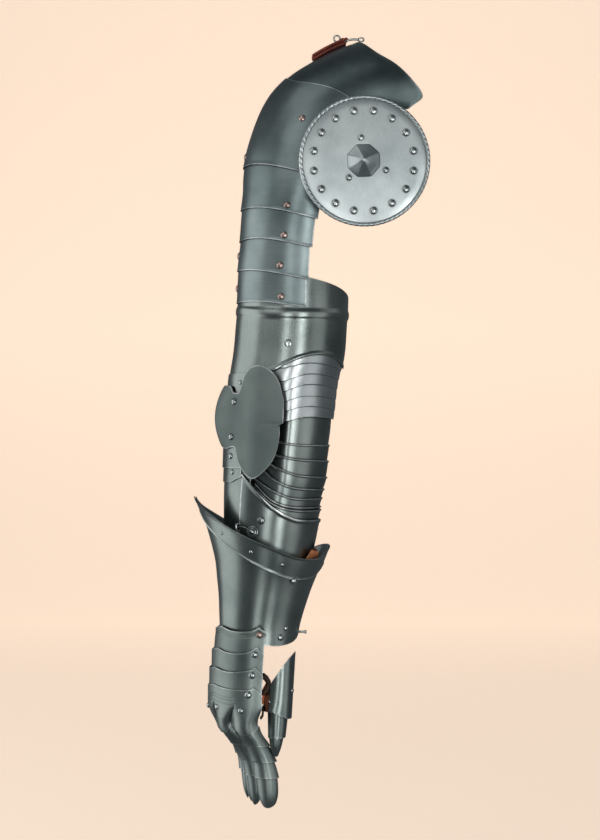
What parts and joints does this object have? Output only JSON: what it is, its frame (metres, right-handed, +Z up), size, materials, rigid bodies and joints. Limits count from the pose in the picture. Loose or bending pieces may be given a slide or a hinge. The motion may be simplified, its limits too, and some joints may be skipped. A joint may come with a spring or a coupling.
{
  "type": "articulated arm armour",
  "caption": "Articulated plate arm defence: laminated shoulder, round armpit disc, jointed elbow, forearm tube, flared cuff and plated hand.",
  "frame": {"origin": "the hanging point above the shoulder cap, where the strap buckle takes the cord", "axes": "+Z up along the hanging arm, -Y to the wearer's front, -X to the outer side of the right arm"},
  "size_m": [0.2591, 0.1808, 0.8611],
  "materials": {
    "dark_steel": "dark satin steel",
    "bright_steel": "bright satin steel",
    "silver_steel": "pale satin steel",
    "strap_leather": "red-brown strap leather",
    "glove_leather": "tan glove leather"
  },
  "bodies": {
    "upper_arm": {"shoulder_cap": "dark_steel", "shoulder_lame_2": "dark_steel", "shoulder_lame_3": "dark_steel", "shoulder_lame_4": "dark_steel", "shoulder_lame_5": "dark_steel", "shoulder_lame_6": "dark_steel", "hanging_strap": "strap_leather", "hanging_buckle": "silver_steel", "rondel_disc": "silver_steel", "rondel_boss": "silver_steel", "rondel_strap": "strap_leather", "upper_cannon": "dark_steel"},
    "couter": {"couter": "dark_steel", "crook_middle_lame": "bright_steel"},
    "upper_lame": {"elbow_upper_lame": "dark_steel"},
    "crook_upper_1": {"crook_upper_lame_1": "bright_steel"},
    "crook_upper_2": {"crook_upper_lame_2": "bright_steel"},
    "crook_upper_3": {"crook_upper_lame_3": "bright_steel"},
    "crook_upper_4": {"crook_upper_lame_4": "bright_steel"},
    "crook_upper_5": {"crook_upper_lame_5": "bright_steel"},
    "crook_upper_6": {"crook_upper_lame_6": "bright_steel"},
    "lower_lame_1": {"elbow_lower_lame_1": "dark_steel"},
    "lower_lame_2": {"elbow_lower_lame_2": "dark_steel"},
    "crook_lower_1": {"crook_lower_lame_1": "bright_steel"},
    "crook_lower_2": {"crook_lower_lame_2": "bright_steel"},
    "crook_lower_3": {"crook_lower_lame_3": "bright_steel"},
    "crook_lower_4": {"crook_lower_lame_4": "bright_steel"},
    "crook_lower_5": {"crook_lower_lame_5": "bright_steel"},
    "crook_lower_6": {"crook_lower_lame_6": "bright_steel"},
    "forearm": {"lower_cannon_outer": "dark_steel", "lower_cannon_inner": "dark_steel", "wrist_leather": "glove_leather", "gauntlet_cuff": "dark_steel", "cuff_border": "dark_steel"},
    "wrist_1": {"hand_lame_1": "dark_steel"},
    "wrist_2": {"hand_lame_2": "dark_steel"},
    "wrist_3": {"hand_lame_3": "dark_steel"},
    "hand": {"knuckle_plate": "dark_steel", "index_finger_lame_1": "dark_steel", "index_finger_lame_2": "dark_steel", "index_finger_lame_3": "dark_steel", "index_finger_lame_4": "dark_steel", "middle_finger_lame_1": "dark_steel", "middle_finger_lame_2": "dark_steel", "middle_finger_lame_3": "dark_steel", "middle_finger_lame_4": "dark_steel", "ring_finger_lame_1": "dark_steel", "ring_finger_lame_2": "dark_steel", "ring_finger_lame_3": "dark_steel", "ring_finger_lame_4": "dark_steel", "little_finger_lame_1": "dark_steel", "little_finger_lame_2": "dark_steel", "little_finger_lame_3": "dark_steel", "little_finger_lame_4": "dark_steel", "thumb_base_plate": "dark_steel", "thumb_lame_1": "dark_steel", "thumb_lame_2": "dark_steel", "thumb_leather": "glove_leather"}
  },
  "joints": [
    {"name": "elbow_upper", "type": "hinge", "parent": "upper_arm", "child": "couter", "pos_m": [-0.1334, 0, -0.4009], "axis": [0, -1, 0], "range_deg": [0, 24]},
    {"name": "elbow_lower", "type": "hinge", "parent": "couter", "child": "forearm", "pos_m": [-0.1349, 0, -0.4609], "axis": [0, -1, 0], "range_deg": [0, 13]},
    {"name": "upper_lame_follow", "type": "hinge", "parent": "upper_arm", "child": "upper_lame", "pos_m": [-0.1334, 0, -0.4009], "axis": [0, -1, 0], "range_deg": [0, 12.05]},
    {"name": "crook_upper_1_follow", "type": "hinge", "parent": "upper_arm", "child": "crook_upper_1", "pos_m": [-0.1334, 0, -0.4009], "axis": [0, -1, 0], "range_deg": [0, 3.48]},
    {"name": "crook_upper_2_follow", "type": "hinge", "parent": "upper_arm", "child": "crook_upper_2", "pos_m": [-0.1334, 0, -0.4009], "axis": [0, -1, 0], "range_deg": [0, 6.91]},
    {"name": "crook_upper_3_follow", "type": "hinge", "parent": "upper_arm", "child": "crook_upper_3", "pos_m": [-0.1334, 0, -0.4009], "axis": [0, -1, 0], "range_deg": [0, 10.34]},
    {"name": "crook_upper_4_follow", "type": "hinge", "parent": "upper_arm", "child": "crook_upper_4", "pos_m": [-0.1334, 0, -0.4009], "axis": [0, -1, 0], "range_deg": [0, 13.76]},
    {"name": "crook_upper_5_follow", "type": "hinge", "parent": "upper_arm", "child": "crook_upper_5", "pos_m": [-0.1334, 0, -0.4009], "axis": [0, -1, 0], "range_deg": [0, 17.19]},
    {"name": "crook_upper_6_follow", "type": "hinge", "parent": "upper_arm", "child": "crook_upper_6", "pos_m": [-0.1334, 0, -0.4009], "axis": [0, -1, 0], "range_deg": [0, 20.62]},
    {"name": "lower_lame_1_follow", "type": "hinge", "parent": "couter", "child": "lower_lame_1", "pos_m": [-0.1349, 0, -0.4609], "axis": [0, -1, 0], "range_deg": [0, 4.38]},
    {"name": "lower_lame_2_follow", "type": "hinge", "parent": "couter", "child": "lower_lame_2", "pos_m": [-0.1349, 0, -0.4609], "axis": [0, -1, 0], "range_deg": [0, 8.72]},
    {"name": "crook_lower_1_follow", "type": "hinge", "parent": "couter", "child": "crook_lower_1", "pos_m": [-0.1349, 0, -0.4609], "axis": [0, -1, 0], "range_deg": [0, 1.91]},
    {"name": "crook_lower_2_follow", "type": "hinge", "parent": "couter", "child": "crook_lower_2", "pos_m": [-0.1349, 0, -0.4609], "axis": [0, -1, 0], "range_deg": [0, 3.76]},
    {"name": "crook_lower_3_follow", "type": "hinge", "parent": "couter", "child": "crook_lower_3", "pos_m": [-0.1349, 0, -0.4609], "axis": [0, -1, 0], "range_deg": [0, 5.62]},
    {"name": "crook_lower_4_follow", "type": "hinge", "parent": "couter", "child": "crook_lower_4", "pos_m": [-0.1349, 0, -0.4609], "axis": [0, -1, 0], "range_deg": [0, 7.48]},
    {"name": "crook_lower_5_follow", "type": "hinge", "parent": "couter", "child": "crook_lower_5", "pos_m": [-0.1349, 0, -0.4609], "axis": [0, -1, 0], "range_deg": [0, 9.34]},
    {"name": "crook_lower_6_follow", "type": "hinge", "parent": "couter", "child": "crook_lower_6", "pos_m": [-0.1349, 0, -0.4609], "axis": [0, -1, 0], "range_deg": [0, 11.19]},
    {"name": "wrist_pivot_1", "type": "hinge", "parent": "forearm", "child": "wrist_1", "pos_m": [-0.12415, -0.00726, -0.6555], "axis": [0.4695, -0.8829, 0], "range_deg": [-3, 8]},
    {"name": "wrist_pivot_2", "type": "hinge", "parent": "wrist_1", "child": "wrist_2", "pos_m": [-0.12685, -0.00726, -0.677], "axis": [0.4695, -0.8829, 0], "range_deg": [-3, 8]},
    {"name": "wrist_pivot_3", "type": "hinge", "parent": "wrist_2", "child": "wrist_3", "pos_m": [-0.12865, -0.00726, -0.699], "axis": [0.4695, -0.8829, 0], "range_deg": [-3, 8]},
    {"name": "knuckle_pivot", "type": "hinge", "parent": "wrist_3", "child": "hand", "pos_m": [-0.12965, -0.00726, -0.721], "axis": [0.4695, -0.8829, 0], "range_deg": [-3, 8]}
  ],
  "couplings": [
    {"joint": "upper_lame_follow", "follows": "elbow_upper", "ratio": 0.5},
    {"joint": "crook_upper_1_follow", "follows": "elbow_upper", "ratio": 0.14286},
    {"joint": "crook_upper_2_follow", "follows": "elbow_upper", "ratio": 0.28571},
    {"joint": "crook_upper_3_follow", "follows": "elbow_upper", "ratio": 0.42857},
    {"joint": "crook_upper_4_follow", "follows": "elbow_upper", "ratio": 0.57143},
    {"joint": "crook_upper_5_follow", "follows": "elbow_upper", "ratio": 0.71429},
    {"joint": "crook_upper_6_follow", "follows": "elbow_upper", "ratio": 0.85714},
    {"joint": "lower_lame_1_follow", "follows": "elbow_lower", "ratio": 0.33333},
    {"joint": "lower_lame_2_follow", "follows": "elbow_lower", "ratio": 0.66667},
    {"joint": "crook_lower_1_follow", "follows": "elbow_lower", "ratio": 0.14286},
    {"joint": "crook_lower_2_follow", "follows": "elbow_lower", "ratio": 0.28571},
    {"joint": "crook_lower_3_follow", "follows": "elbow_lower", "ratio": 0.42857},
    {"joint": "crook_lower_4_follow", "follows": "elbow_lower", "ratio": 0.57143},
    {"joint": "crook_lower_5_follow", "follows": "elbow_lower", "ratio": 0.71429},
    {"joint": "crook_lower_6_follow", "follows": "elbow_lower", "ratio": 0.85714}
  ]
}
